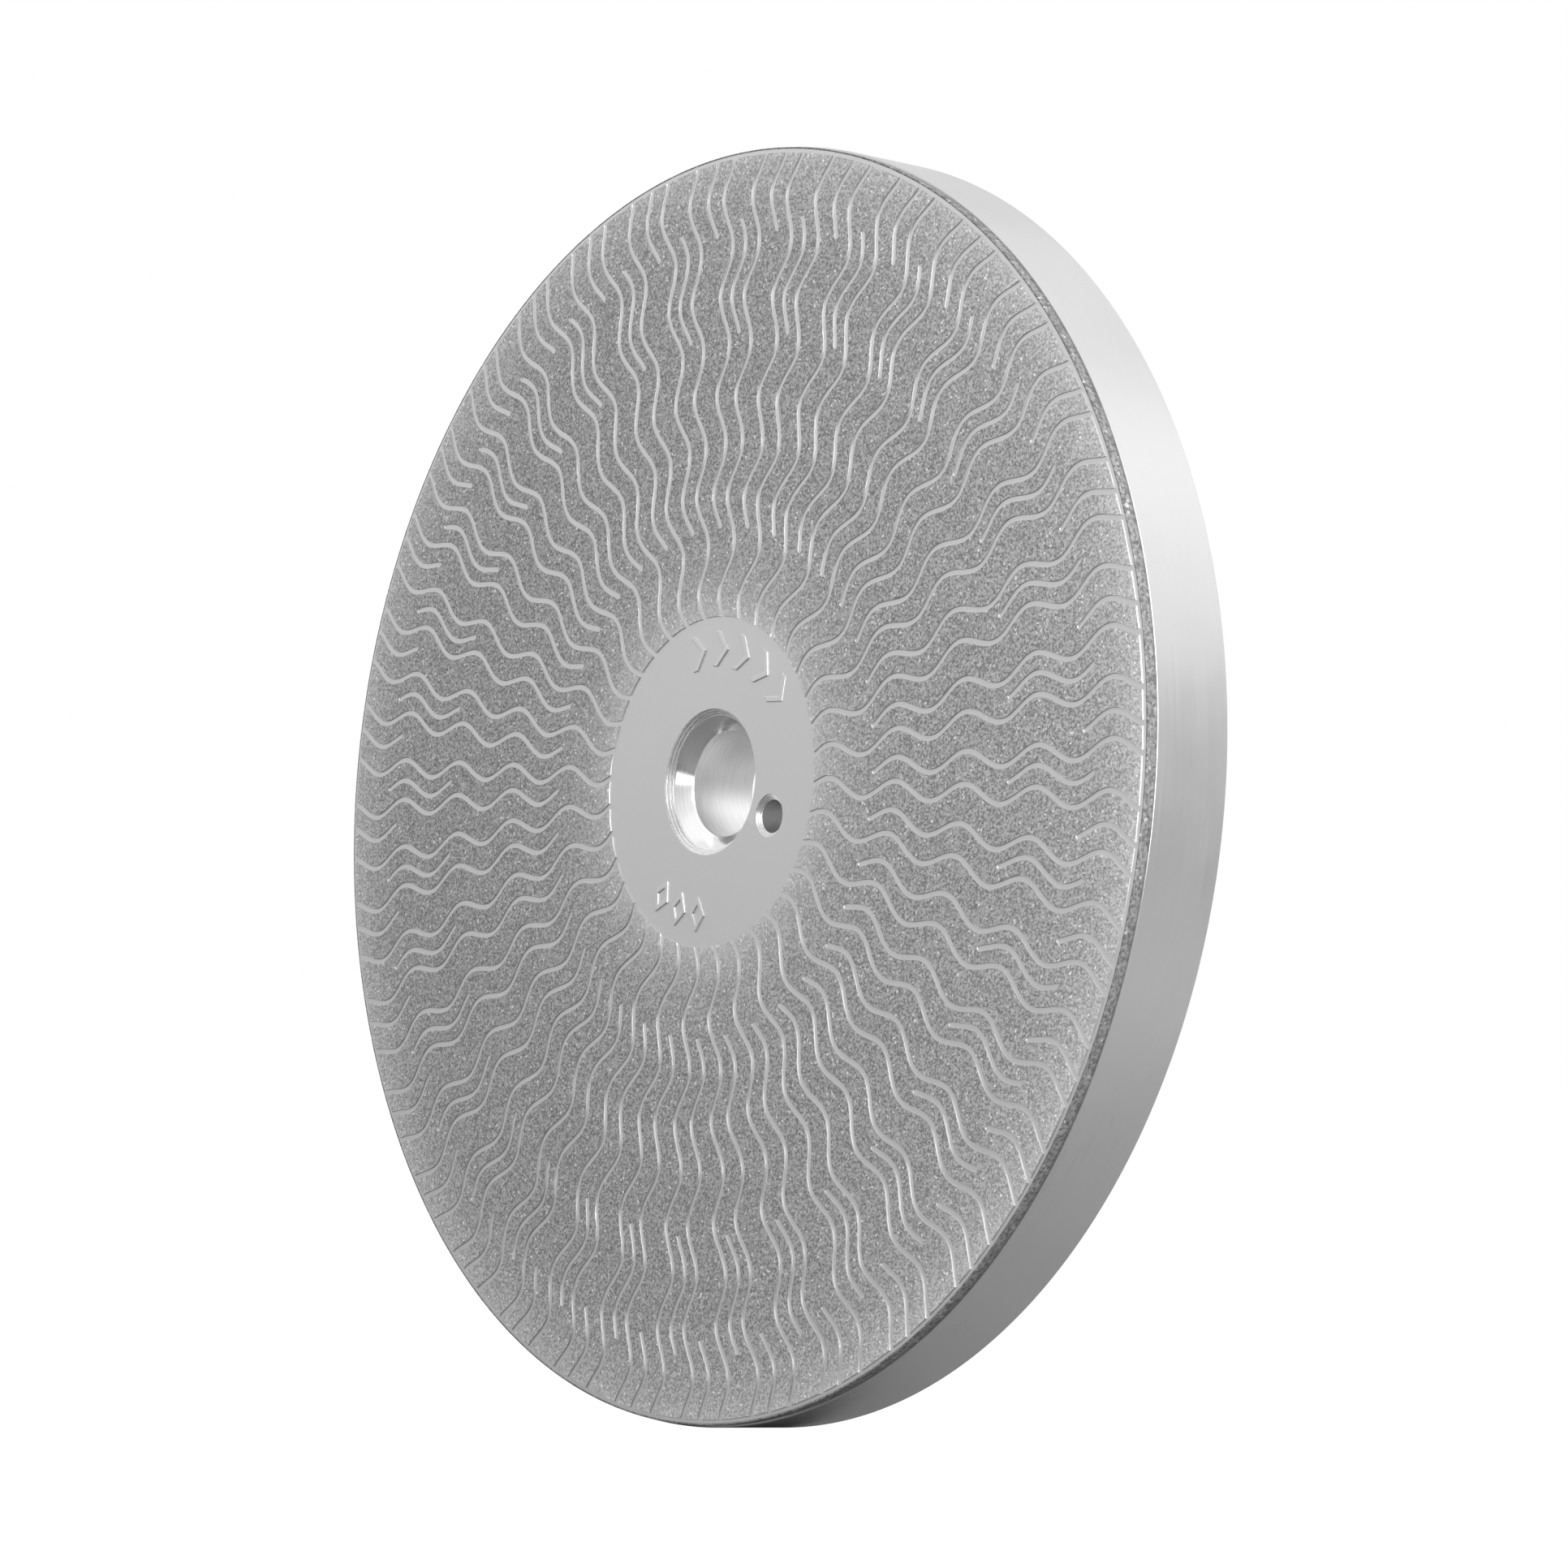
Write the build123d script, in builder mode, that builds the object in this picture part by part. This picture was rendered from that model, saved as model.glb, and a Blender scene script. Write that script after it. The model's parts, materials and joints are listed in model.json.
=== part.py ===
from build123d import *
import os
from math import ceil, cos, hypot, pi, sin

# A lapidary face wheel: an aluminium disc whose front face and front rim carry a
# nickel-bonded diamond coat. Millimetres. The wheel's axis is the Y axis, the coated
# face looks towards -Y, +Z is up, and the origin is on the axis at mid-thickness.
# Angles on the face are degrees clockwise from the top, seen from the front.

# Body
wheel_diameter = 152.4
body_thickness = 11.7
edge_break = 0.12  # chamfer on the back corner of the rim
ledge_width = 0.45  # bare ring between the face coat and the rim band

# Arbor bore and its countersink, turned rings outside and a plain cone inside
bore_diameter = 12.7
cone_width = 1.65
ring_count = 3
ring_width = 0.24
ring_depth = 0.31
bore_back_break = 0.2

# Drive pin hole, beside the bore, with turned rings at its mouth
pin_hole_diameter = 3.97
pin_hole_angle = 108.7
pin_wall = 1.2  # metal left between the countersink and the hole's mouth
pin_ring_width = 0.185
pin_ring_depth = 0.19
pin_back_break = 0.25

# Diamond coat on the face, cut by waved grooves into lands
hub_diameter = 39.6
coat_thickness = 0.2
land_count = 36
first_groove_angle = 1.6
groove_width = 0.62
wave_length = 12.0
wave_height = 1.04  # from the middle of the swing to its end
first_swing = 2.75  # from the hub's edge out to the first full swing
points_per_wave = 8

# The lesser grooves of each land, turned clockwise from the land's first groove
long_branch_turn = 5.45
long_branch_start = 10.9  # outwards from the hub's edge, and open at the rim
short_branch_turn = 7.65
short_branch_start = 21.2  # inwards from the coat's outer edge
short_branch_end = 7.6
edge_branch_turn = 3.0
edge_branch_start = 9.1  # inwards from the coat's outer edge, and open at the rim

# Coat on the front of the rim, in a seat turned below the rim
band_width = 1.25
band_thickness = 0.2
band_sink = 0.25  # how far the band's surface lies below the rim

# Raised marks on the hub: chevrons above the bore and lozenges below it
mark_height = 4.3
mark_relief = 0.15
mark_margin = 1.75  # from the marks out to the hub's edge
chevron_count = 5
chevron_middle_angle = 18.0
chevron_pitch_angle = 15.5
chevron_width = 2.7
chevron_stroke = 0.85
lozenge_count = 3
lozenge_middle_angle = 196.0
lozenge_pitch_angle = 13.5
lozenge_width = 2.9
lozenge_stroke = 0.55

# Radii and heights that follow from the sizes above
wheel_radius = wheel_diameter / 2
bore_radius = bore_diameter / 2
hub_radius = hub_diameter / 2
half_thickness = body_thickness / 2
band_outer_radius = wheel_radius - band_sink
band_seat_radius = band_outer_radius - band_thickness
coat_outer_radius = band_seat_radius - ledge_width
cone_radius = bore_radius + cone_width
mouth_radius = cone_radius + ring_count * ring_width
pin_hole_radius = pin_hole_diameter / 2
pin_mouth_radius = pin_hole_radius + ring_count * pin_ring_width
pin_circle_radius = mouth_radius + pin_wall + pin_mouth_radius
mark_radius = hub_radius - mark_margin - mark_height / 2
land_pitch = 360 / land_count
swing_radius = hub_radius + first_swing
trim_allowance = 1.0  # how far a tool shape runs past the edge that it trims

# The front face as a drawing plane: x to the right, y up, height out of the face
face_plane = Plane.XZ.offset(half_thickness)


def on_face(radius, angle):
    """A point of the face at a radius and an angle clockwise from the top."""
    return Vector(0, radius).rotate(Axis.Z, -angle)


def stepped_mouth(inner_radius, width, depth):
    """Corners of a stair of turned rings, from the face down to the innermost radius."""
    corners = [(inner_radius + ring_count * width, -half_thickness)]
    for ring in range(ring_count):
        radius = inner_radius + (ring_count - ring) * width
        height = -half_thickness + (ring + 1) * depth
        corners.append((radius, height))
        corners.append((radius - width, height))
    return corners


def groove_edge(angle, start_radius, end_radius, side):
    """Points along one side of a waved groove: side is 1 for clockwise, -1 for the other."""
    steps = ceil((end_radius - start_radius) / wave_length * points_per_wave)
    points = []
    for step in range(steps + 1):
        radius = start_radius + (end_radius - start_radius) * step / steps
        phase = 2 * pi * (radius - swing_radius) / wave_length
        slope = wave_height * 2 * pi / wave_length * sin(phase)
        reach = side * groove_width / 2 / hypot(1, slope)
        point = Vector(reach - wave_height * cos(phase), radius - reach * slope)
        points.append(point.rotate(Axis.Z, -angle))
    return points


def groove_end(clockwise, other, inner):
    """The round end that closes two sides of a groove, at their inner or outer ends."""
    at = 0 if inner else 1
    middle = (clockwise @ at + other @ at) / 2
    outwards = -1 if inner else 1
    tip = middle + (clockwise % at).normalized() * outwards * groove_width / 2
    ThreePointArc(clockwise @ at, tip, other @ at)


# Wheel body: one turned disc with its bore, seat, countersink and pin hole
with BuildPart() as wheel_body:
    with BuildSketch(Plane.XY) as section:
        with BuildLine():
            Polyline(
                (bore_radius, half_thickness - bore_back_break),
                (bore_radius + bore_back_break, half_thickness),
                (wheel_radius - edge_break, half_thickness),
                (wheel_radius, half_thickness - edge_break),
                (wheel_radius, band_width - half_thickness),
                (band_seat_radius, band_width - half_thickness),
                (band_seat_radius, -half_thickness),
                *stepped_mouth(cone_radius, ring_width, ring_depth),
                (bore_radius, -half_thickness + ring_count * ring_depth + cone_width),
                close=True,
            )
        make_face()
    revolve(axis=Axis.Y)

    # Drive pin hole, cut with its stepped mouth and its back break in one turning
    pin_centre = on_face(pin_circle_radius, pin_hole_angle)
    pin_plane = Plane(origin=(pin_centre.X, 0, pin_centre.Y))
    with BuildSketch(pin_plane):
        with BuildLine():
            Polyline(
                (0, half_thickness + trim_allowance),
                (pin_hole_radius + pin_back_break + trim_allowance, half_thickness + trim_allowance),
                (pin_hole_radius, half_thickness - pin_back_break),
                *reversed(stepped_mouth(pin_hole_radius, pin_ring_width, pin_ring_depth)),
                (pin_mouth_radius, -half_thickness - trim_allowance),
                (0, -half_thickness - trim_allowance),
                close=True,
            )
        make_face()
    revolve(axis=Axis((pin_centre.X, 0, pin_centre.Y), (0, 1, 0)), mode=Mode.SUBTRACT)

    # Chevrons, each one bent stroke
    left = -chevron_width / 2
    right = chevron_width / 2
    half_height = mark_height / 2
    with BuildSketch(face_plane):
        for place in range(chevron_count):
            turn = chevron_middle_angle + (place - (chevron_count - 1) / 2) * chevron_pitch_angle
            with Locations(on_face(mark_radius, turn)):
                Polygon(
                    (left, half_height),
                    (left + chevron_stroke, half_height),
                    (right, 0),
                    (left + chevron_stroke, -half_height),
                    (left, -half_height),
                    (right - chevron_stroke, 0),
                    rotation=-turn,
                    align=None,
                )
    extrude(amount=mark_relief)

    # Lozenges, each a raised frame
    half_width = lozenge_width / 2
    inner_share = 1 - lozenge_stroke * hypot(half_width, half_height) / (half_width * half_height)
    with BuildSketch(face_plane):
        for place in range(lozenge_count):
            turn = lozenge_middle_angle + (place - (lozenge_count - 1) / 2) * lozenge_pitch_angle
            with Locations(on_face(mark_radius, turn)):
                for share, way in ((1, Mode.ADD), (inner_share, Mode.SUBTRACT)):
                    Polygon(
                        (0, half_height * share),
                        (half_width * share, 0),
                        (0, -half_height * share),
                        (-half_width * share, 0),
                        rotation=-turn,
                        align=None,
                        mode=way,
                    )
    extrude(amount=mark_relief)

wheel_body.part.label = "wheel_body"

# Rim band: a thin coated ring in the seat on the front of the rim
with BuildPart() as rim_band:
    with BuildSketch(face_plane):
        Circle(band_outer_radius)
        Circle(band_seat_radius, mode=Mode.SUBTRACT)
    extrude(amount=-band_width)

rim_band.part.label = "rim_band"

# The lesser grooves of a land: turn, inner radius, outer radius, and open at the rim or not
past_rim = coat_outer_radius + trim_allowance
short_inner_radius = coat_outer_radius - short_branch_start
short_outer_radius = coat_outer_radius - short_branch_end
lesser_grooves = (
    (long_branch_turn, hub_radius + long_branch_start, past_rim, True),
    (short_branch_turn, short_inner_radius, short_outer_radius, False),
    (edge_branch_turn, coat_outer_radius - edge_branch_start, past_rim, True),
)

# Outline of one land, between two full grooves, with its lesser grooves taken out
with BuildSketch() as land_outline:
    with BuildLine():
        near_side = Spline(*groove_edge(0, hub_radius - trim_allowance, past_rim, 1))
        far_side = Spline(*groove_edge(land_pitch, hub_radius - trim_allowance, past_rim, -1))
        Line(near_side @ 0, far_side @ 0)
        Line(near_side @ 1, far_side @ 1)
    make_face()
    Circle(coat_outer_radius, mode=Mode.INTERSECT)
    Circle(hub_radius, mode=Mode.SUBTRACT)
    for turn, start_radius, end_radius, open_at_rim in lesser_grooves:
        with BuildLine():
            clockwise = Spline(*groove_edge(turn, start_radius, end_radius, 1))
            other = Spline(*groove_edge(turn, start_radius, end_radius, -1))
            groove_end(clockwise, other, inner=True)
            if open_at_rim:
                Line(clockwise @ 1, other @ 1)
            else:
                groove_end(clockwise, other, inner=False)
        make_face(mode=Mode.SUBTRACT)

# Every piece to its own file
os.makedirs("parts", exist_ok=True)
export_step(wheel_body.part, "parts/wheel_body.step")
export_step(rim_band.part, "parts/rim_band.step")
for land in range(land_count):
    land_plane = face_plane.rotated((0, first_groove_angle + land * land_pitch, 0))
    with BuildPart() as face_land:
        with BuildSketch(land_plane):
            add(land_outline.sketch)
        extrude(amount=coat_thickness)
    face_land.part.label = f"face_land_{land + 1:02d}"
    export_step(face_land.part, f"parts/{face_land.part.label}.step")
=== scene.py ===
"""The looks of a lapidary face wheel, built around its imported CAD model.

The wheel stands upright with its coated face towards -Y. Lengths are metres, and angles on the
face are degrees clockwise from the top, seen from the front.
"""
import json
import logging
import math
from dataclasses import dataclass, field
from enum import Enum

import bmesh
import bpy
from mathutils import Matrix, Vector


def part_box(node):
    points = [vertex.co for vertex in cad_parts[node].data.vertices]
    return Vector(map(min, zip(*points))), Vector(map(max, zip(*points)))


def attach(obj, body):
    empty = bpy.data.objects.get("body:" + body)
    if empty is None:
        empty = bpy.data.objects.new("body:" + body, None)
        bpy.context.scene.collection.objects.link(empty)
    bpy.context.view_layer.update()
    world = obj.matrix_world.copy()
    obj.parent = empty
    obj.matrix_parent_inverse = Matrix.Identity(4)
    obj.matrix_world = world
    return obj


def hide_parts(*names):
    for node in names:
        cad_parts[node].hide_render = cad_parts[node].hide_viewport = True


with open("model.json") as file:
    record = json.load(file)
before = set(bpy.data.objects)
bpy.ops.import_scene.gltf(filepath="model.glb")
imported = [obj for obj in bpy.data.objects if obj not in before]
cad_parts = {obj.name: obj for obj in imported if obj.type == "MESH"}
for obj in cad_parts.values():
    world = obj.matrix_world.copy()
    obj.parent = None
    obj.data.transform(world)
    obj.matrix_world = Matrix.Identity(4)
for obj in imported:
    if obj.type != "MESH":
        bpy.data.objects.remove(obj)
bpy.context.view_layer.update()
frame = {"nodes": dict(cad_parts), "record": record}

MM = 0.001
LEFT_AT_REACH = 0.368  # what is left of a border's halo one reach away from it
ROUND_SHARE = 0.35  # the largest share of an edge that one corner's round may take
BODY = "root"
log = logging.getLogger("wheel")

Point = tuple[float, float]


class Zone(Enum):
    """The parts of the wheel body that carry different finishes, in material slot order."""

    FACE = 0
    RIM = 1
    BORE = 2
    CONE = 3
    RINGS = 4
    BACK = 5


Corner = tuple[float, float, Zone]


# ---------------------------------------------------------------- node helpers


@dataclass
class Nodes:
    """A short way to add and join nodes in one tree."""

    tree: bpy.types.NodeTree

    def add(self, kind: str, **settings: object) -> bpy.types.Node:
        """Add a node and set its properties.

        Args:
            kind: the node's class name.
            settings: properties of the node, by name.

        Returns:
            The new node.
        """
        node = self.tree.nodes.new(kind)
        for name, value in settings.items():
            setattr(node, name, value)
        return node

    def join(self, source: bpy.types.NodeSocket, target: bpy.types.NodeSocket) -> None:
        """Link an output to an input."""
        self.tree.links.new(source, target)

    def math(self, operation: str, first: object, second: object = 0.0) -> bpy.types.NodeSocket:
        """Add a Math node.

        Args:
            operation: the Math node's operation.
            first: a socket or a number.
            second: a socket or a number.

        Returns:
            The node's output.
        """
        node = self.add("ShaderNodeMath", operation=operation)
        for socket, value in zip(node.inputs, (first, second)):
            if isinstance(value, bpy.types.NodeSocket):
                self.join(value, socket)
            else:
                socket.default_value = value
        return node.outputs[0]

    def spread(
        self, value: bpy.types.NodeSocket, source: Point, target: Point, smooth: bool = False
    ) -> bpy.types.NodeSocket:
        """Map a range of values onto another, clamped.

        Args:
            value: the value to map.
            source: its two ends before.
            target: its two ends after.
            smooth: ease both ends.

        Returns:
            The mapped value.
        """
        node = self.add("ShaderNodeMapRange", interpolation_type="SMOOTHSTEP" if smooth else "LINEAR")
        self.join(value, node.inputs["Value"])
        node.inputs["From Min"].default_value, node.inputs["From Max"].default_value = source
        node.inputs["To Min"].default_value, node.inputs["To Max"].default_value = target
        return node.outputs["Result"]

    def grey(self, value: bpy.types.NodeSocket) -> bpy.types.NodeSocket:
        """Make a grey colour of a value.

        Args:
            value: how light the grey is.

        Returns:
            The colour.
        """
        node = self.add("ShaderNodeCombineColor")
        for channel in ("Red", "Green", "Blue"):
            self.join(value, node.inputs[channel])
        return node.outputs[0]

    def noise(self, vector: bpy.types.NodeSocket, scale: object, detail: float) -> bpy.types.NodeSocket:
        """Add a Noise texture.

        Args:
            vector: where it is read.
            scale: a socket or a number, in features per metre.
            detail: octaves.

        Returns:
            The noise value, about 0.5 in the middle.
        """
        node = self.add("ShaderNodeTexNoise")
        self.join(vector, node.inputs["Vector"])
        if isinstance(scale, bpy.types.NodeSocket):
            self.join(scale, node.inputs["Scale"])
        else:
            node.inputs["Scale"].default_value = scale
        node.inputs["Detail"].default_value = detail
        return node.outputs[0]


def new_material(name: str) -> tuple[bpy.types.Material, Nodes, bpy.types.Node]:
    """Start a material with one Principled BSDF.

    Args:
        name: the material's name.

    Returns:
        The material, its nodes and its shader.
    """
    material = bpy.data.materials.new(name)
    material.use_nodes = True
    return material, Nodes(material.node_tree), material.node_tree.nodes["Principled BSDF"]


def shader_group(name: str, inputs: dict[str, float], outputs: tuple[str, ...]) -> tuple[Nodes, dict, dict]:
    """Start a shader node group with named float sockets.

    Args:
        name: the group's name.
        inputs: input names and their default values.
        outputs: output names.

    Returns:
        The group's nodes, its inputs inside the group, and its outputs inside the group.
    """
    tree = bpy.data.node_groups.new(name, "ShaderNodeTree")
    for label, value in inputs.items():
        socket = tree.interface.new_socket(label, in_out="INPUT", socket_type="NodeSocketFloat")
        socket.default_value = value
    for label in outputs:
        tree.interface.new_socket(label, in_out="OUTPUT", socket_type="NodeSocketFloat")
    nodes = Nodes(tree)
    entry = nodes.add("NodeGroupInput")
    leave = nodes.add("NodeGroupOutput")
    given = {label: entry.outputs[label] for label in inputs}
    out = {label: leave.inputs[label] for label in outputs}
    return nodes, given, out


def radius_of(nodes: Nodes) -> tuple[bpy.types.NodeSocket, bpy.types.NodeSocket, bpy.types.NodeSocket]:
    """Read where a point lies on the wheel.

    Args:
        nodes: the tree to add to.

    Returns:
        The distance from the wheel's axis, the place along it, and the plain Object coordinates.
    """
    place = nodes.add("ShaderNodeTexCoord").outputs["Object"]
    parts = nodes.add("ShaderNodeSeparateXYZ")
    nodes.join(place, parts.inputs[0])
    flat = nodes.add("ShaderNodeCombineXYZ")
    nodes.join(parts.outputs["X"], flat.inputs["X"])
    nodes.join(parts.outputs["Z"], flat.inputs["Z"])
    length = nodes.add("ShaderNodeVectorMath", operation="LENGTH")
    nodes.join(flat.outputs[0], length.inputs[0])
    return length.outputs["Value"], parts.outputs["Y"], place


class Effects:
    """The shader groups that several finishes share."""

    def __init__(self) -> None:
        """Build every group once."""
        self.turning = self._turning()
        self.grit = self._grit()
        self.halo = self._halo()

    def _turning(self) -> bpy.types.NodeTree:
        """Build the fine rings that a lathe tool leaves, with slow blotches of tone.

        Returns:
            The group, with outputs Height and Tone.
        """
        sizes = {"Rings per metre": 6000.0, "Break up": 60.0, "Blotch size": 90.0}
        nodes, given, out = shader_group("turning_marks", sizes, ("Height", "Tone"))
        radius, along, place = radius_of(nodes)
        rings = nodes.add("ShaderNodeCombineXYZ")
        nodes.join(nodes.math("MULTIPLY", radius, given["Rings per metre"]), rings.inputs["X"])
        nodes.join(nodes.math("MULTIPLY", along, given["Rings per metre"]), rings.inputs["Y"])
        around = nodes.add("ShaderNodeVectorMath", operation="SCALE")
        nodes.join(place, around.inputs[0])
        nodes.join(given["Break up"], around.inputs["Scale"])
        both = nodes.add("ShaderNodeVectorMath", operation="ADD")
        nodes.join(rings.outputs[0], both.inputs[0])
        nodes.join(around.outputs[0], both.inputs[1])
        nodes.join(nodes.noise(both.outputs[0], 1.0, 3.0), out["Height"])
        nodes.join(nodes.noise(place, given["Blotch size"], 3.0), out["Tone"])
        return nodes.tree

    def _grit(self) -> bpy.types.NodeTree:
        """Build the fine grain of diamond grit held in nickel.

        Returns:
            The group, with outputs Height, Tone and Glint.
        """
        sizes = {"Grains per metre": 4200.0}
        nodes, given, out = shader_group("grit_grain", sizes, ("Height", "Tone", "Glint"))
        _, _, place = radius_of(nodes)
        cells = nodes.add("ShaderNodeTexVoronoi", feature="F1")
        nodes.join(place, cells.inputs["Vector"])
        nodes.join(given["Grains per metre"], cells.inputs["Scale"])
        fine = nodes.noise(place, nodes.math("MULTIPLY", given["Grains per metre"], 0.8), 2.0)
        shade = nodes.add("ShaderNodeSeparateColor")
        nodes.join(cells.outputs["Color"], shade.inputs[0])
        dome = nodes.spread(cells.outputs["Distance"], (0.0, 0.7), (1.0, 0.0))
        domed, pitted = nodes.math("MULTIPLY", dome, 0.6), nodes.math("MULTIPLY", fine, 0.8)
        nodes.join(nodes.math("ADD", domed, pitted), out["Height"])
        mottled, by_grain = nodes.math("MULTIPLY", fine, 0.7), nodes.math("MULTIPLY", shade.outputs[0], 0.3)
        nodes.join(nodes.math("ADD", mottled, by_grain), out["Tone"])
        nodes.join(nodes.spread(shade.outputs[1], (0.965, 0.985), (0.0, 1.0)), out["Glint"])
        return nodes.tree

    def _halo(self) -> bpy.types.NodeTree:
        """Build how much smoother and paler the plating grows near the hub and near the rim.

        Returns:
            The group, with outputs Hub and Rim, each 1 at its own border and falling away from it.
        """
        borders = {"Hub radius": 0.0198, "Hub reach": 0.0043, "Rim radius": 0.0753, "Rim reach": 0.0045}
        nodes, given, out = shader_group("border_halo", borders, ("Hub", "Rim"))
        radius, _, place = radius_of(nodes)
        ragged = nodes.spread(nodes.noise(place, 1100.0, 3.0), (0.3, 0.7), (0.8, 1.2))
        inner = nodes.math("DIVIDE", nodes.math("SUBTRACT", radius, given["Hub radius"]), given["Hub reach"])
        outer = nodes.math("DIVIDE", nodes.math("SUBTRACT", given["Rim radius"], radius), given["Rim reach"])
        for label, reach in (("Hub", inner), ("Rim", outer)):
            nodes.join(nodes.math("POWER", LEFT_AT_REACH, nodes.math("MULTIPLY", reach, ragged)), out[label])
        return nodes.tree


# ---------------------------------------------------------------- finishes


@dataclass(frozen=True)
class Metal:
    """A turned metal finish."""

    name: str
    grey: float
    roughness: float
    rings: float = 6000.0
    break_up: float = 60.0
    depth: float = 2e-6
    tone_swing: float = 0.06
    rough_swing: float = 0.08
    metallic: float = 1.0

    def make(self, effects: Effects) -> bpy.types.Material:
        """Build the material.

        Args:
            effects: the shared shader groups.

        Returns:
            The material.
        """
        material, nodes, shader = new_material(self.name)
        shader.inputs["Metallic"].default_value = self.metallic
        marks = nodes.add("ShaderNodeGroup", node_tree=effects.turning)
        marks.inputs["Rings per metre"].default_value = self.rings
        marks.inputs["Break up"].default_value = self.break_up
        low, high = self.grey * (1 - self.tone_swing), self.grey * (1 + self.tone_swing)
        ringed = nodes.math("MULTIPLY", marks.outputs["Height"], 0.5)
        blend = nodes.math("ADD", nodes.math("MULTIPLY", marks.outputs["Tone"], 0.5), ringed)
        tone = nodes.spread(blend, (0.3, 0.7), (low, high))
        nodes.join(nodes.grey(tone), shader.inputs["Base Color"])
        rough = (self.roughness - self.rough_swing, self.roughness + self.rough_swing)
        nodes.join(nodes.spread(blend, (0.3, 0.7), rough), shader.inputs["Roughness"])
        bump = nodes.add("ShaderNodeBump")
        bump.inputs["Distance"].default_value = self.depth
        nodes.join(marks.outputs["Height"], bump.inputs["Height"])
        nodes.join(bump.outputs[0], shader.inputs["Normal"])
        return material


@dataclass(frozen=True)
class Grit:
    """Diamond grit in a nickel bond."""

    name: str
    dark: float
    light: float
    hub_lift: float = 0.0
    rim_lift: float = 0.0
    roughness: float = 0.62
    grains: float = 4200.0
    depth: float = 4.5e-5
    metallic: float = 0.35

    def make(self, effects: Effects) -> bpy.types.Material:
        """Build the material.

        Args:
            effects: the shared shader groups.

        Returns:
            The material.
        """
        material, nodes, shader = new_material(self.name)
        shader.inputs["Metallic"].default_value = self.metallic
        shader.inputs["Specular IOR Level"].default_value = 0.4
        grain = nodes.add("ShaderNodeGroup", node_tree=effects.grit)
        grain.inputs["Grains per metre"].default_value = self.grains
        halo = nodes.add("ShaderNodeGroup", node_tree=effects.halo)
        middle, swing = (self.dark + self.light) / 2, (self.light - self.dark) / 2
        speckle = nodes.spread(grain.outputs["Tone"], (0.34, 0.66), (-swing, swing))
        calm = nodes.spread(halo.outputs["Hub"], (0.0, 1.0), (1.0, 0.6))
        tone = nodes.math("ADD", nodes.math("MULTIPLY", speckle, calm), middle)
        at_hub = nodes.math("MULTIPLY", halo.outputs["Hub"], self.hub_lift)
        at_rim = nodes.math("MULTIPLY", halo.outputs["Rim"], self.rim_lift)
        glint = nodes.math("MULTIPLY", grain.outputs["Glint"], 0.3)
        grey = nodes.math("ADD", nodes.math("ADD", tone, glint), nodes.math("ADD", at_hub, at_rim))
        nodes.join(nodes.grey(grey), shader.inputs["Base Color"])
        rough = nodes.spread(grain.outputs["Tone"], (0.3, 0.7), (self.roughness + 0.1, self.roughness - 0.1))
        nodes.join(rough, shader.inputs["Roughness"])
        bump = nodes.add("ShaderNodeBump")
        bump.inputs["Distance"].default_value = self.depth
        bump.inputs["Strength"].default_value = 0.5
        nodes.join(grain.outputs["Height"], bump.inputs["Height"])
        nodes.join(bump.outputs[0], shader.inputs["Normal"])
        return material


@dataclass(frozen=True)
class Crystal:
    """Bare diamond crystals that stand out of the bond."""

    name: str = "diamond_crystal"
    grey: float = 0.56
    roughness: float = 0.26

    def make(self) -> bpy.types.Material:
        """Build the material.

        Returns:
            The material.
        """
        material, nodes, shader = new_material(self.name)
        shader.inputs["IOR"].default_value = 2.0
        shader.inputs["Metallic"].default_value = 0.5
        place = nodes.add("ShaderNodeTexCoord").outputs["Object"]
        tone = nodes.spread(nodes.noise(place, 2600.0, 2.0), (0.35, 0.65), (self.grey * 0.6, self.grey * 1.3))
        nodes.join(nodes.grey(tone), shader.inputs["Base Color"])
        rough = (self.roughness * 0.6, self.roughness * 1.6)
        clear = nodes.spread(nodes.noise(place, 3100.0, 1.0), (0.3, 0.7), rough)
        nodes.join(clear, shader.inputs["Roughness"])
        return material


# ---------------------------------------------------------------- mesh helpers


def add_object(name: str, mesh: bpy.types.Mesh) -> bpy.types.Object:
    """Put a mesh in the scene as an object at the origin.

    Args:
        name: the piece's name.
        mesh: its mesh.

    Returns:
        The object.
    """
    piece = bpy.data.objects.new(name, mesh)
    bpy.context.scene.collection.objects.link(piece)
    return piece


def finished(shape: bmesh.types.BMesh, name: str) -> bpy.types.Mesh:
    """Write a shape into a new mesh and free it.

    Args:
        shape: the shape.
        name: the mesh's name.

    Returns:
        The mesh.
    """
    mesh = bpy.data.meshes.new(name)
    shape.to_mesh(mesh)
    shape.free()
    return mesh


def soften(profile: list[Corner], reach: float) -> list[Corner]:
    """Round every corner of a closed profile a little.

    Args:
        profile: corners as radius, place along the axis, and the zone of the edge that follows.
        reach: how far from a corner the round starts.

    Returns:
        The profile with three points at each corner.
    """
    result = []
    for index, (radius, along, zone) in enumerate(profile):
        corner = Vector((radius, along))
        before = Vector(profile[index - 1][:2]) - corner
        after = Vector(profile[(index + 1) % len(profile)][:2]) - corner
        step = min(reach, before.length * ROUND_SHARE, after.length * ROUND_SHARE)
        start = corner + before.normalized() * step
        end = corner + after.normalized() * step
        middle = corner * 0.5 + (start + end) * 0.25
        result += [(*start, zone), (*middle, zone), (*end, zone)]
    return result


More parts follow.
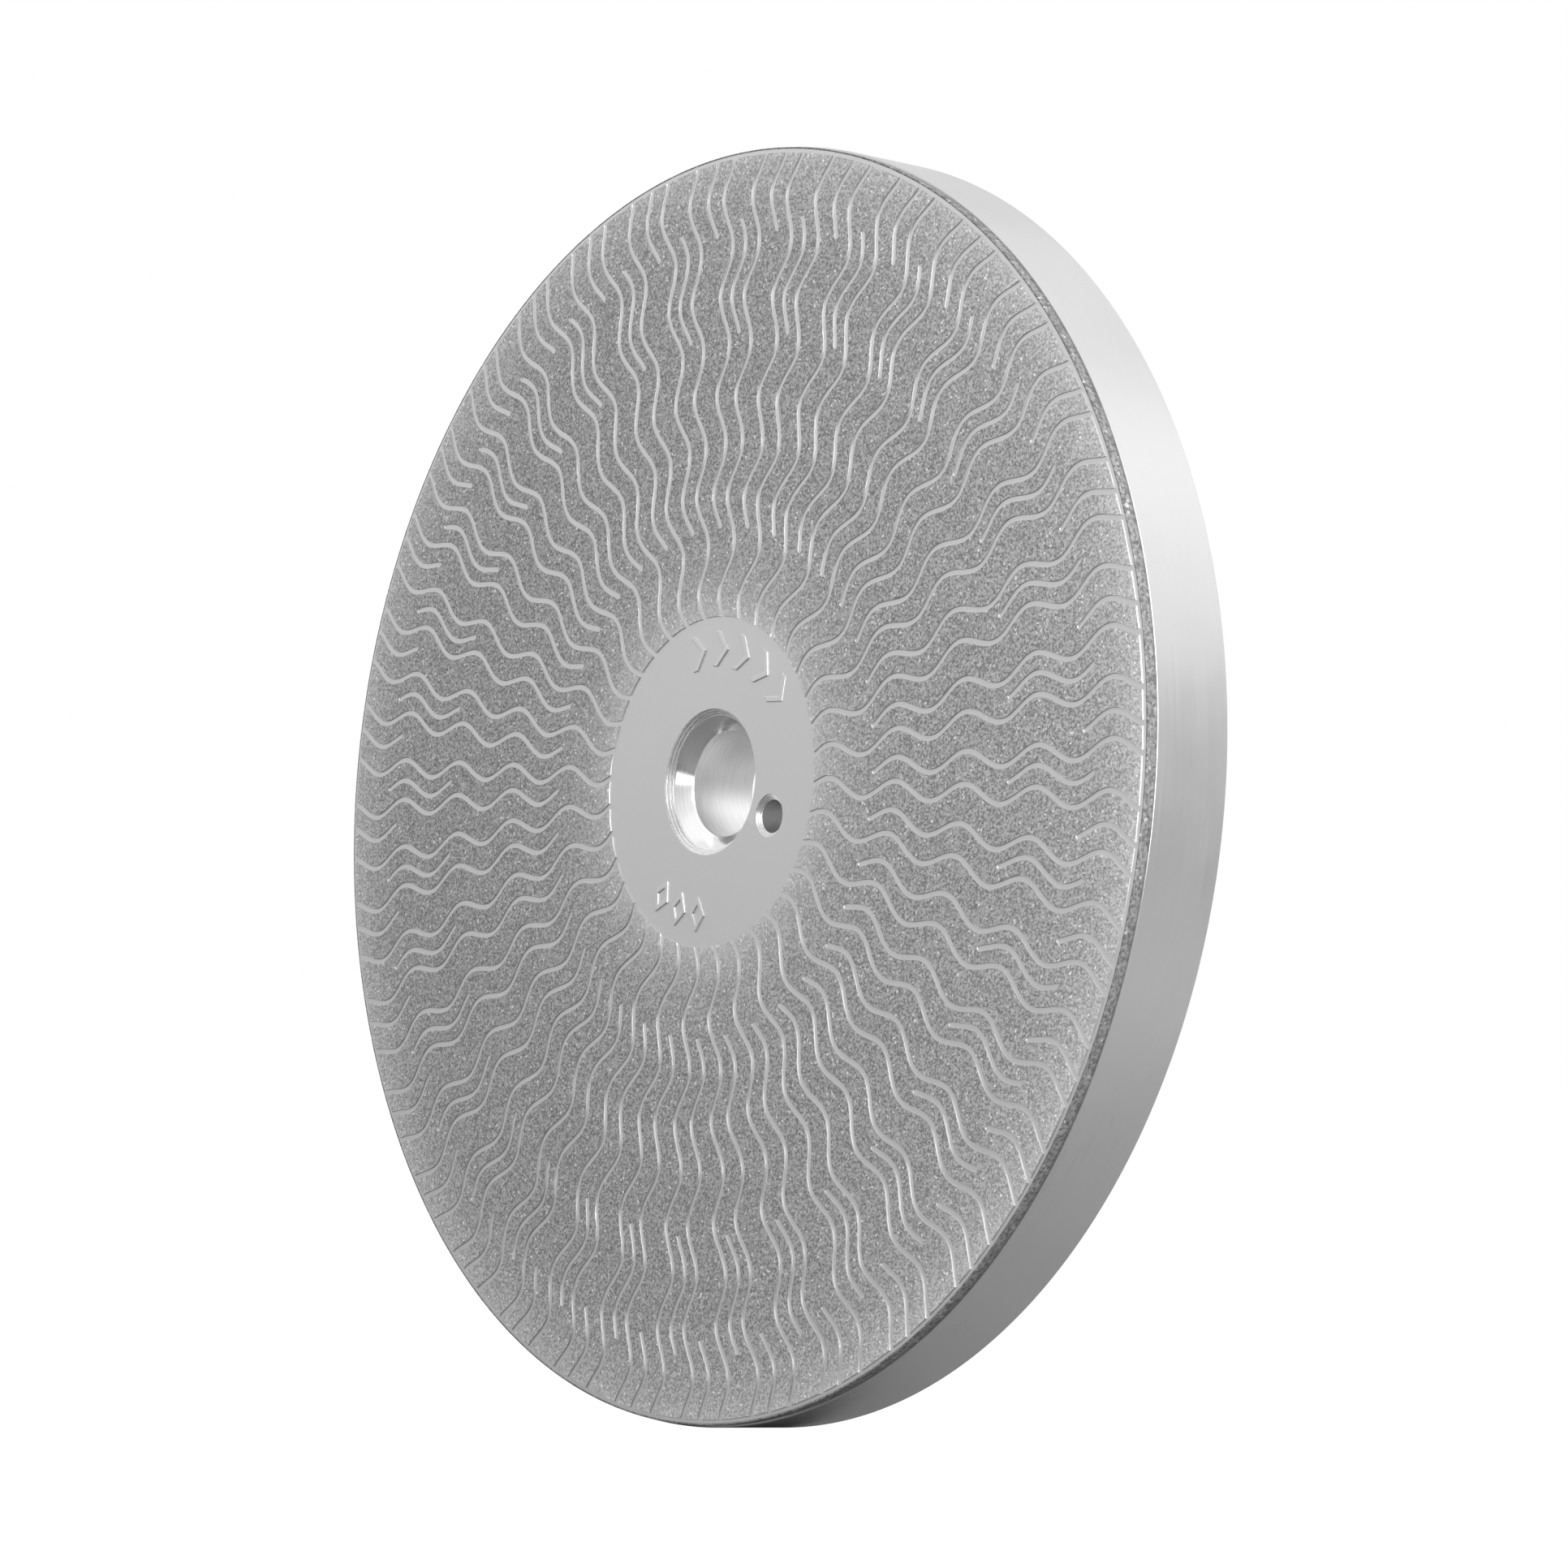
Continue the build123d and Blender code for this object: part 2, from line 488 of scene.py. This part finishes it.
def lathe(name: str, profile: list[Corner], sides: int, closed: bool = True) -> bpy.types.Mesh:
    """Turn a profile about the wheel's axis.

    Args:
        name: the mesh's name.
        profile: corners as radius, place along the axis, and the zone of the edge that follows.
        sides: steps in a full turn.
        closed: join the last corner to the first; if not, both ends lie on the axis.

    Returns:
        The closed mesh, with its zones as material indices.
    """
    shape = bmesh.new()
    rings = []
    for radius, along, _ in profile:
        if radius == 0:
            rings.append([shape.verts.new((0, along, 0))] * sides)
            continue
        angles = (2 * math.pi * side / sides for side in range(sides))
        rings.append([shape.verts.new((radius * math.sin(a), along, radius * math.cos(a))) for a in angles])
    count = len(profile) if closed else len(profile) - 1
    for index in range(count):
        this, following = rings[index], rings[(index + 1) % len(rings)]
        for side in range(sides):
            beside = (side + 1) % sides
            corners = [this[side], following[side], following[beside], this[beside]]
            face = shape.faces.new(list(dict.fromkeys(corners)))
            face.material_index = profile[index][2].value
            face.smooth = True
    bmesh.ops.recalc_face_normals(shape, faces=shape.faces)
    return finished(shape, name)


def applied(piece: bpy.types.Object) -> None:
    """Turn an object's modifiers into its mesh.

    Args:
        piece: the object.
    """
    graph = bpy.context.evaluated_depsgraph_get()
    graph.update()
    mesh = bpy.data.meshes.new_from_object(piece.evaluated_get(graph), depsgraph=graph)
    piece.modifiers.clear()
    piece.data = mesh


def on_face(radius: float, angle: float, height: float) -> Vector:
    """Find a point on the front of the wheel.

    Args:
        radius: distance from the axis.
        angle: degrees clockwise from the top.
        height: place along Y.

    Returns:
        The point.
    """
    turn = math.radians(angle)
    return Vector((radius * math.sin(turn), height, radius * math.cos(turn)))


# ---------------------------------------------------------------- sub-assemblies


@dataclass
class Layout:
    """The wheel's main sizes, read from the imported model."""

    rim_radius: float = 0.0
    back: float = 0.0
    front: float = 0.0
    coat_top: float = 0.0
    band_back: float = 0.0
    band_radius: float = 0.0
    bore_radius: float = 0.0
    pin_radius: float = 0.0
    pin_centre: Vector = field(default_factory=Vector)

    def read(self) -> "Layout":
        """Fill in the sizes.

        Returns:
            The layout itself.
        """
        _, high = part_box("wheel_body")
        band_low, band_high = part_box("rim_band")
        land_low, land_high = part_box("face_land_01")
        mounts = {mount["name"]: mount for mount in frame["record"]["mounts"]}
        self.rim_radius, self.back = high.x, high.y
        self.front, self.coat_top = land_high.y, land_low.y
        self.band_back, self.band_radius = band_high.y, band_high.x
        self.bore_radius = mounts["arbor_bore"]["dims"]["r_mm"] * MM
        self.pin_radius = mounts["drive_pin_hole"]["dims"]["r_mm"] * MM
        self.pin_centre = Vector(mounts["drive_pin_hole"]["pos_m"])
        return self


@dataclass
class WheelBody:
    """The turned aluminium disc."""

    layout: Layout
    effects: Effects
    sides: int = 720
    pin_sides: int = 96
    cone_width: float = 1.65 * MM
    ring_count: int = 3
    ring_width: float = 0.24 * MM
    ring_depth: float = 0.31 * MM
    bore_break: float = 0.2 * MM
    rim_break: float = 0.12 * MM
    shoulder_break: float = 0.06 * MM
    seat_depth: float = 0.2 * MM
    pin_ring_width: float = 0.185 * MM
    pin_ring_depth: float = 0.19 * MM
    pin_break: float = 0.25 * MM
    corner_round: float = 0.05 * MM
    overshoot: float = 1.0 * MM
    sharp_angle: float = 32.0
    flat_weight: int = 95
    finishes: dict[Zone, Metal] = field(
        default_factory=lambda: {
            Zone.FACE: Metal(
                "hub_satin", 0.72, 0.5, rings=1500.0, break_up=700.0, depth=1.2e-6, tone_swing=0.03
            ),
            Zone.RIM: Metal("rim_satin", 0.62, 0.34, rings=9000.0, depth=0.8e-6, tone_swing=0.03),
            Zone.BORE: Metal(
                "bore_turned", 0.78, 0.4, rings=5000.0, break_up=260.0, depth=5e-6, tone_swing=0.14
            ),
            Zone.CONE: Metal("cone_bright", 0.84, 0.17, rings=4000.0, depth=1.5e-6, tone_swing=0.08),
            Zone.RINGS: Metal(
                "ring_turned", 0.8, 0.32, rings=8000.0, break_up=2400.0, depth=1.2e-5, tone_swing=0.24
            ),
            Zone.BACK: Metal("back_turned", 0.62, 0.36, rings=3800.0, depth=2.5e-6, tone_swing=0.06),
        }
    )

    def stair(self, inner: float, width: float, depth: float) -> list[Corner]:
        """List the corners of the turned rings at a hole's mouth, from the outermost inwards.

        Args:
            inner: the radius inside the rings.
            width: one ring's width.
            depth: one ring's depth.

        Returns:
            The corners.
        """
        corners = [(inner + self.ring_count * width, self.layout.front, Zone.RINGS)]
        for ring in range(self.ring_count):
            radius = inner + (self.ring_count - ring) * width
            height = self.layout.front + (ring + 1) * depth
            corners += [(radius, height, Zone.RINGS), (radius - width, height, Zone.RINGS)]
        return corners

    def disc(self) -> bpy.types.Mesh:
        """Turn the disc with its bore, countersink and band seat.

        Returns:
            The mesh.
        """
        size = self.layout
        bore, rim = size.bore_radius, size.rim_radius
        seat = size.band_radius - self.seat_depth
        stair = self.stair(bore + self.cone_width, self.ring_width, self.ring_depth)
        cone_top = stair.pop()
        profile = [
            (bore, size.back - self.bore_break, Zone.BORE),
            (bore + self.bore_break, size.back, Zone.BACK),
            (rim - self.rim_break, size.back, Zone.RIM),
            (rim, size.back - self.rim_break, Zone.RIM),
            (rim, size.band_back + self.shoulder_break, Zone.RIM),
            (rim - self.shoulder_break, size.band_back, Zone.RIM),
            (seat, size.band_back, Zone.RIM),
            (seat, size.front, Zone.FACE),
            *stair,
            (cone_top[0], cone_top[1], Zone.CONE),
            (bore, cone_top[1] + self.cone_width, Zone.BORE),
        ]
        return lathe("wheel_body", soften(profile, self.corner_round), self.sides)

    def pin_cutter(self) -> bpy.types.Object:
        """Turn the shape of the drive pin hole and stand it in its place.

        Returns:
            The cutter.
        """
        size = self.layout
        stair = self.stair(size.pin_radius, self.pin_ring_width, self.pin_ring_depth)
        mouth = stair[0][0]
        wide = size.pin_radius + self.pin_break + self.overshoot
        profile = [
            (0.0, size.front - self.overshoot, Zone.BORE),
            (mouth, size.front - self.overshoot, Zone.BORE),
            *stair[:-1],
            (stair[-1][0], stair[-1][1], Zone.BORE),
            (size.pin_radius, size.back - self.pin_break, Zone.BORE),
            (wide, size.back + self.overshoot, Zone.BORE),
            (0.0, size.back + self.overshoot, Zone.BORE),
        ]
        cutter = add_object("pin_cutter", lathe("pin_cutter", profile, self.pin_sides, closed=False))
        cutter.data.transform(Matrix.Translation((size.pin_centre.x, 0, size.pin_centre.z)))
        return cutter

    def build(self) -> bpy.types.Object:
        """Make the body and dress it.

        Returns:
            The piece.
        """
        piece = add_object("wheel_disc", self.disc())
        cutter = self.pin_cutter()
        for zone in Zone:
            material = self.finishes[zone].make(self.effects)
            piece.data.materials.append(material)
            cutter.data.materials.append(material)
        cut = piece.modifiers.new("pin_hole", "BOOLEAN")
        cut.operation, cut.object, cut.solver = "DIFFERENCE", cutter, "EXACT"
        applied(piece)
        bpy.data.objects.remove(cutter)
        piece.data.set_sharp_from_angle(angle=math.radians(self.sharp_angle))
        true_flats = piece.modifiers.new("true_flats", "WEIGHTED_NORMAL")
        true_flats.weight, true_flats.keep_sharp = self.flat_weight, True
        applied(piece)
        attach(piece, BODY)
        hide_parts("wheel_body")
        return piece


@dataclass
class HubMarks:
    """The raised chevrons and lozenges on the hub."""

    layout: Layout
    effects: Effects
    radius: float = 15.9 * MM
    height: float = 4.3 * MM
    relief: float = 0.15 * MM
    sink: float = 0.05 * MM
    bevel: float = 0.075 * MM
    chevron_count: int = 5
    chevron_middle: float = 18.0
    chevron_pitch: float = 15.5
    chevron_width: float = 2.7 * MM
    chevron_stroke: float = 0.85 * MM
    lozenge_count: int = 3
    lozenge_middle: float = 196.0
    lozenge_pitch: float = 13.5
    lozenge_width: float = 2.9 * MM
    lozenge_stroke: float = 0.55 * MM
    finish: Metal = Metal(
        "mark_satin", 0.72, 0.42, rings=1500.0, break_up=900.0, depth=1.5e-6, tone_swing=0.04
    )

    def placed(self, outline: list[Point], angle: float) -> list[Vector]:
        """Set a flat outline on the hub, turned to stand upright at its place.

        Args:
            outline: its corners, sideways and outwards from the mark's middle.
            angle: degrees clockwise from the top.

        Returns:
            The corners on the front face.
        """
        centre = on_face(self.radius, angle, self.layout.front)
        turn = Matrix.Rotation(math.radians(angle), 3, "Y")
        return [centre + turn @ Vector((x, 0, z)) for x, z in outline]

    def chevron(self, place: int) -> list[list[Vector]]:
        """Outline one chevron as its two arms.

        Args:
            place: its number in the row.

        Returns:
            The outline of each arm.
        """
        angle = self.chevron_middle + (place - (self.chevron_count - 1) / 2) * self.chevron_pitch
        left, right, tall = -self.chevron_width / 2, self.chevron_width / 2, self.height / 2
        stroke = self.chevron_stroke
        arms = []
        for end in (tall, -tall):
            arm = [(left, end), (left + stroke, end), (right, 0.0), (right - stroke, 0.0)]
            arms.append(self.placed(arm if end > 0 else arm[::-1], angle))
        return arms

    def lozenge(self, place: int) -> list[list[Vector]]:
        """Outline one lozenge frame as its four sides.

        Args:
            place: its number in the row.

        Returns:
            The outline of each side of the frame.
        """
        angle = self.lozenge_middle + (place - (self.lozenge_count - 1) / 2) * self.lozenge_pitch
        wide, tall = self.lozenge_width / 2, self.height / 2
        share = 1 - self.lozenge_stroke * math.hypot(wide, tall) / (wide * tall)
        ring = [(0.0, tall), (wide, 0.0), (0.0, -tall), (-wide, 0.0)]
        outer = self.placed(ring, angle)
        inner = self.placed([(x * share, z * share) for x, z in ring], angle)
        return [[outer[i], outer[(i + 1) % 4], inner[(i + 1) % 4], inner[i]] for i in range(4)]

    def build(self) -> bpy.types.Object:
        """Make the marks and dress them.

        Returns:
            The piece.
        """
        shape = bmesh.new()
        outlines = [arm for place in range(self.chevron_count) for arm in self.chevron(place)]
        outlines += [side for place in range(self.lozenge_count) for side in self.lozenge(place)]
        for outline in outlines:
            shape.faces.new([shape.verts.new(point + Vector((0, self.sink, 0))) for point in outline])
        bmesh.ops.remove_doubles(shape, verts=shape.verts, dist=1e-6)
        raised = bmesh.ops.extrude_face_region(shape, geom=list(shape.faces))
        moved = [item for item in raised["geom"] if isinstance(item, bmesh.types.BMVert)]
        bmesh.ops.translate(shape, verts=moved, vec=(0, -self.relief - self.sink, 0))
        bmesh.ops.recalc_face_normals(shape, faces=shape.faces)
        mesh = finished(shape, "hub_marks")
        piece = add_object("hub_marks", mesh)
        mesh.materials.append(self.finish.make(self.effects))
        rounding = piece.modifiers.new("rounding", "BEVEL")
        rounding.width, rounding.segments, rounding.limit_method = self.bevel, 2, "ANGLE"
        applied(piece)
        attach(piece, BODY)
        return piece


@dataclass
class RimBand:
    """The coated ring on the front of the rim."""

    layout: Layout
    effects: Effects
    sides: int = 720
    thickness: float = 0.2 * MM
    corner_round: float = 0.05 * MM
    finish: Grit = Grit("band_grit", 0.12, 0.3, roughness=0.5, grains=3000.0, depth=8e-5)

    def build(self) -> bpy.types.Object:
        """Make the band and dress it.

        Returns:
            The piece.
        """
        size = self.layout
        inner, outer = size.band_radius - self.thickness, size.band_radius
        corners = [(inner, size.front), (outer, size.front), (outer, size.band_back), (inner, size.band_back)]
        profile = soften([(radius, along, Zone.FACE) for radius, along in corners], self.corner_round)
        piece = add_object("rim_grit_band", lathe("rim_grit_band", profile, self.sides))
        piece.data.materials.append(self.finish.make(self.effects))
        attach(piece, BODY)
        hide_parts("rim_band")
        return piece


@dataclass
class FaceCoat:
    """The lands of diamond coat between the waved grooves, and the crystals that stand out of them."""

    layout: Layout
    effects: Effects
    bond_drop: float = 0.07 * MM
    flank_inset: float = 0.03 * MM
    crystal_size: float = 0.066 * MM
    crystals_per_m2: float = 1.05e6
    seed: int = 7
    grit: Grit = Grit("face_grit", 0.19, 0.5, hub_lift=0.21, rim_lift=0.19)
    flank: Metal = Metal(
        "nickel_flank", 0.64, 0.38, rings=3000.0, break_up=2600.0, depth=2e-6, tone_swing=0.1
    )

    def land(self, node: str, materials: list[bpy.types.Material]) -> tuple[bpy.types.Object, bpy.types.Mesh]:
        """Make one land from its CAD solid, with sloped flanks and the bond just under the crystals' tips.

        Args:
            node: the CAD node's name.
            materials: the coat's material and the flanks' material.

        Returns:
            The piece, and a mesh of its top alone.
        """
        shape = bmesh.new()
        shape.from_mesh(frame["nodes"][node].data)
        bmesh.ops.remove_doubles(shape, verts=shape.verts, dist=1e-7)
        middle = (self.layout.front + self.layout.coat_top) / 2
        places = {}
        for vertex in shape.verts:
            if vertex.co.y > middle:
                continue
            walls = [face.normal for face in vertex.link_faces if abs(face.normal.y) < 0.5]
            inwards = Vector((0, 0, 0))
            if walls:
                outward = sum(walls, Vector())
                outward.y = 0
                outward.normalize()
                lean = max(0.5, min(outward.dot(wall) for wall in walls))
                inwards = outward * (-self.flank_inset / lean)
            places[vertex] = vertex.co + inwards + Vector((0, self.bond_drop, 0))
        for vertex, place in places.items():
            vertex.co = place
        shape.normal_update()
        for face in shape.faces:
            face.material_index = 0 if abs(face.normal.y) > 0.9 else 1
            face.smooth = False
        top = shape.copy()
        hidden = [face for face in top.faces if face.normal.y > -0.9]
        bmesh.ops.delete(top, geom=hidden, context="FACES")
        top_mesh = finished(top, "top")
        name = node.replace("face_land", "coat_land")
        mesh = finished(shape, name)
        for material in materials:
            mesh.materials.append(material)
        piece = add_object(name, mesh)
        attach(piece, BODY)
        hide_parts(node)
        return piece, top_mesh

    def crystal(self) -> bpy.types.Object:
        """Make one blocky crystal, eight faces on six corners.

        Returns:
            The crystal's object, to be copied.
        """
        shape = bmesh.new()
        axes = (Vector((1, 0, 0)), Vector((0, 0.8, 0)), Vector((0, 0, 0.9)))
        ends = [[shape.verts.new(axis * sign) for sign in (1, -1)] for axis in axes]
        for one in ends[0]:
            for two in ends[1]:
                for three in ends[2]:
                    shape.faces.new((one, two, three))
        bmesh.ops.recalc_face_normals(shape, faces=shape.faces)
        return add_object("crystal", finished(shape, "crystal"))

    def scatter_tree(self, material: bpy.types.Material, crystal: bpy.types.Object) -> bpy.types.NodeTree:
        """Build the Geometry Nodes tree that strews crystals over a surface.

        Args:
            material: the crystals' material.
            crystal: the crystal to copy.

        Returns:
            The tree.
        """
        tree = bpy.data.node_groups.new("strewn_crystals", "GeometryNodeTree")
        panel = tree.interface
        panel.new_socket("Surface", in_out="INPUT", socket_type="NodeSocketGeometry")
        kinds = {"Density": "NodeSocketFloat", "Size": "NodeSocketFloat", "Seed": "NodeSocketInt"}
        for label, kind in kinds.items():
            panel.new_socket(label, in_out="INPUT", socket_type=kind)
        panel.new_socket("Crystals", in_out="OUTPUT", socket_type="NodeSocketGeometry")
        nodes = Nodes(tree)
        entry, leave = nodes.add("NodeGroupInput"), nodes.add("NodeGroupOutput")
        strew = nodes.add("GeometryNodeDistributePointsOnFaces", distribute_method="RANDOM")
        nodes.join(entry.outputs["Surface"], strew.inputs["Mesh"])
        nodes.join(entry.outputs["Density"], strew.inputs["Density"])
        nodes.join(entry.outputs["Seed"], strew.inputs["Seed"])
        source = nodes.add("GeometryNodeObjectInfo")
        source.inputs["Object"].default_value = crystal
        turn = nodes.add("FunctionNodeRandomValue", data_type="FLOAT_VECTOR")
        turn.inputs["Max"].default_value = (math.tau, math.tau, math.tau)
        nodes.join(entry.outputs["Seed"], turn.inputs["Seed"])
        grow = nodes.add("FunctionNodeRandomValue", data_type="FLOAT")
        low = nodes.math("MULTIPLY", entry.outputs["Size"], 0.55)
        nodes.join(low, grow.inputs[2])
        nodes.join(entry.outputs["Size"], grow.inputs[3])
        nodes.join(entry.outputs["Seed"], grow.inputs["Seed"])
        place = nodes.add("GeometryNodeInstanceOnPoints")
        nodes.join(strew.outputs["Points"], place.inputs["Points"])
        nodes.join(source.outputs["Geometry"], place.inputs["Instance"])
        nodes.join(turn.outputs[0], place.inputs["Rotation"])
        nodes.join(grow.outputs[1], place.inputs["Scale"])
        real = nodes.add("GeometryNodeRealizeInstances")
        dress = nodes.add("GeometryNodeSetMaterial")
        dress.inputs["Material"].default_value = material
        nodes.join(place.outputs[0], real.inputs[0])
        nodes.join(real.outputs[0], dress.inputs[0])
        nodes.join(dress.outputs[0], leave.inputs[0])
        return tree

    def crystals(self, tops: list[bpy.types.Mesh]) -> bpy.types.Object:
        """Strew crystals over the lands' tops.

        Args:
            tops: the meshes to strew them on.

        Returns:
            The piece.
        """
        joined = bmesh.new()
        for mesh in tops:
            joined.from_mesh(mesh)
        surface = finished(joined, "strewn_surface")
        piece = add_object("face_crystals", surface)
        crystal = self.crystal()
        tree = self.scatter_tree(Crystal().make(), crystal)
        strew = piece.modifiers.new("strewn", "NODES")
        strew.node_group = tree
        values = {"Density": self.crystals_per_m2, "Size": self.crystal_size, "Seed": self.seed}
        for item in tree.interface.items_tree:
            if item.in_out == "INPUT" and item.name in values:
                strew[item.identifier] = values[item.name]
        applied(piece)
        bpy.data.objects.remove(crystal)
        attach(piece, BODY)
        return piece

    def build(self) -> list[bpy.types.Object]:
        """Make every land and the crystals.

        Returns:
            The pieces.
        """
        materials = [self.grit.make(self.effects), self.flank.make(self.effects)]
        pieces, tops = [], []
        for node in sorted(name for name in frame["nodes"] if name.startswith("face_land")):
            piece, top = self.land(node, materials)
            pieces.append(piece)
            tops.append(top)
        pieces.append(self.crystals(tops))
        for top in tops:
            bpy.data.meshes.remove(top)
        return pieces


# ---------------------------------------------------------------- studio


@dataclass
class Lamp:
    """A soft square light that looks at the wheel."""

    name: str
    azimuth: float
    elevation: float
    distance: float
    width: float
    height: float
    watts: float

    def build(self) -> bpy.types.Object:
        """Make the light.

        Returns:
            The light's object.
        """
        light = bpy.data.lights.new(self.name, "AREA")
        light.shape, light.size, light.size_y = "RECTANGLE", self.width, self.height
        light.energy = self.watts
        turn, rise = math.radians(self.azimuth), math.radians(self.elevation)
        back = Vector((math.sin(turn) * math.cos(rise), -math.cos(turn) * math.cos(rise), math.sin(rise)))
        lamp = bpy.data.objects.new(self.name, light)
        bpy.context.scene.collection.objects.link(lamp)
        lamp.location = back * self.distance
        lamp.rotation_euler = back.to_track_quat("Z", "Y").to_euler()
        return lamp


@dataclass
class Studio:
    """Camera, pale floor, plain surround and soft lights."""

    layout: Layout
    lens: float = 109.16
    sensor: float = 36.0
    camera_place: tuple[float, float, float] = (0.44784, -0.35072, -0.02953)
    camera_back: tuple[float, float, float] = (0.78154, -0.6216, -0.05273)
    camera_up: tuple[float, float, float] = (0.0, -0.0845, 0.99642)
    floor_half: float = 40.0
    # painted shade: the floor's grey for reflected and bounced light runs from floor_back behind the wheel to
    # a darker value in front
    floor_back: float = 0.5
    floor_front_painted_shade: float = 0.2
    floor_shadow: float = 0.06
    low_grey: float = 0.68
    high_grey: float = 1.05
    lamps: tuple[Lamp, ...] = (
        Lamp("overhead", 20.0, 80.0, 1.2, 1.6, 1.6, 0.8),
        Lamp("back_top", 175.0, 50.0, 0.9, 0.8, 0.5, 0.2),
        Lamp("back_right", 140.0, 34.0, 0.9, 0.8, 0.5, 0.5),
        Lamp("near_right", 72.0, 16.0, 0.27, 0.22, 0.22, 0.75),
        Lamp("left_front", -50.0, 18.0, 0.6, 0.5, 0.5, 0.24),
        Lamp("low_card", 37.0, -9.0, 0.5, 0.24, 0.24, 0.25),
    )

    def camera(self) -> None:
        """Make the camera and use it."""
        data = bpy.data.cameras.new("camera")
        data.lens, data.sensor_width = self.lens, self.sensor
        data.clip_start, data.clip_end = 0.01, 50.0
        camera = bpy.data.objects.new("camera", data)
        bpy.context.scene.collection.objects.link(camera)
        back, up = Vector(self.camera_back).normalized(), Vector(self.camera_up).normalized()
        right = up.cross(back).normalized()
        up = back.cross(right)
        turned = Matrix((right, up, back)).transposed()
        camera.matrix_world = Matrix.Translation(self.camera_place) @ turned.to_4x4()
        bpy.context.scene.camera = camera

    def floor(self) -> None:
        """Lay a floor under the rim: white and glowing to the camera, and for other rays grey with painted
        shade, darker towards the front.
        """
        level, half = -self.layout.rim_radius, self.floor_half
        mesh = bpy.data.meshes.new("floor")
        corners = [(-half, -half, level), (half, -half, level), (half, half, level), (-half, half, level)]
        mesh.from_pydata(corners, [], [(0, 1, 2, 3)])
        floor = add_object("floor", mesh)
        paint = bpy.data.materials.new("pale_floor")
        paint.use_nodes = True
        nodes = Nodes(paint.node_tree)
        paint.node_tree.nodes.clear()
        painted_shade_diffuse, white = nodes.add("ShaderNodeBsdfDiffuse"), nodes.add("ShaderNodeBsdfDiffuse")
        glow = nodes.add("ShaderNodeEmission")
        _, along, _ = radius_of(nodes)
        # painted shade: the grey the wheel reflects and catches from the floor darkens towards the front
        shade = nodes.spread(along, (-0.06, 0.16), (self.floor_front_painted_shade, self.floor_back), smooth=True)
        nodes.join(nodes.grey(shade), painted_shade_diffuse.inputs["Color"])
        white.inputs["Color"].default_value = (self.floor_shadow,) * 3 + (1.0,)
        glow.inputs["Strength"].default_value = 1.0
        seen, chosen = nodes.add("ShaderNodeAddShader"), nodes.add("ShaderNodeMixShader")
        nodes.join(white.outputs[0], seen.inputs[0])
        nodes.join(glow.outputs[0], seen.inputs[1])
        nodes.join(nodes.add("ShaderNodeLightPath").outputs["Is Camera Ray"], chosen.inputs[0])
        nodes.join(painted_shade_diffuse.outputs[0], chosen.inputs[1])
        nodes.join(seen.outputs[0], chosen.inputs[2])
        nodes.join(chosen.outputs[0], nodes.add("ShaderNodeOutputMaterial").inputs[0])
        mesh.materials.append(paint)

    def surround(self) -> None:
        """Light the wheel with a soft surround, paler overhead, behind a plain white ground."""
        world = bpy.data.worlds.new("surround")
        bpy.context.scene.world = world
        world.use_nodes = True
        nodes = Nodes(world.node_tree)
        world.node_tree.nodes.clear()
        place = nodes.add("ShaderNodeTexCoord").outputs["Generated"]
        parts = nodes.add("ShaderNodeSeparateXYZ")
        nodes.join(place, parts.inputs[0])
        level = nodes.spread(parts.outputs["Z"], (0.0, 0.9), (self.low_grey, self.high_grey), smooth=True)
        soft, plain = nodes.add("ShaderNodeBackground"), nodes.add("ShaderNodeBackground")
        nodes.join(level, soft.inputs["Strength"])
        soft.inputs["Color"].default_value = (1.0, 1.0, 1.0, 1.0)
        plain.inputs["Color"].default_value = (1.0, 1.0, 1.0, 1.0)
        chosen = nodes.add("ShaderNodeMixShader")
        nodes.join(nodes.add("ShaderNodeLightPath").outputs["Is Camera Ray"], chosen.inputs[0])
        nodes.join(soft.outputs[0], chosen.inputs[1])
        nodes.join(plain.outputs[0], chosen.inputs[2])
        nodes.join(chosen.outputs[0], nodes.add("ShaderNodeOutputWorld").inputs[0])

    def build(self) -> None:
        """Set the whole studio up."""
        bpy.context.scene.view_settings.view_transform = "Standard"
        self.camera()
        self.floor()
        self.surround()
        for lamp in self.lamps:
            lamp.build()


def main() -> None:
    """Build the studio and every sub-assembly of the wheel."""
    logging.basicConfig(level=logging.INFO, format="%(name)s: %(message)s")
    layout = Layout().read()
    Studio(layout).build()
    effects = Effects()
    for assembly in (WheelBody(layout, effects), HubMarks(layout, effects), RimBand(layout, effects)):
        piece = assembly.build()
        log.info("%s: %d faces", piece.name, len(piece.data.polygons))
    for piece in FaceCoat(layout, effects).build():
        log.info("%s: %d faces", piece.name, len(piece.data.polygons))


if __name__ == "__main__":
    main()
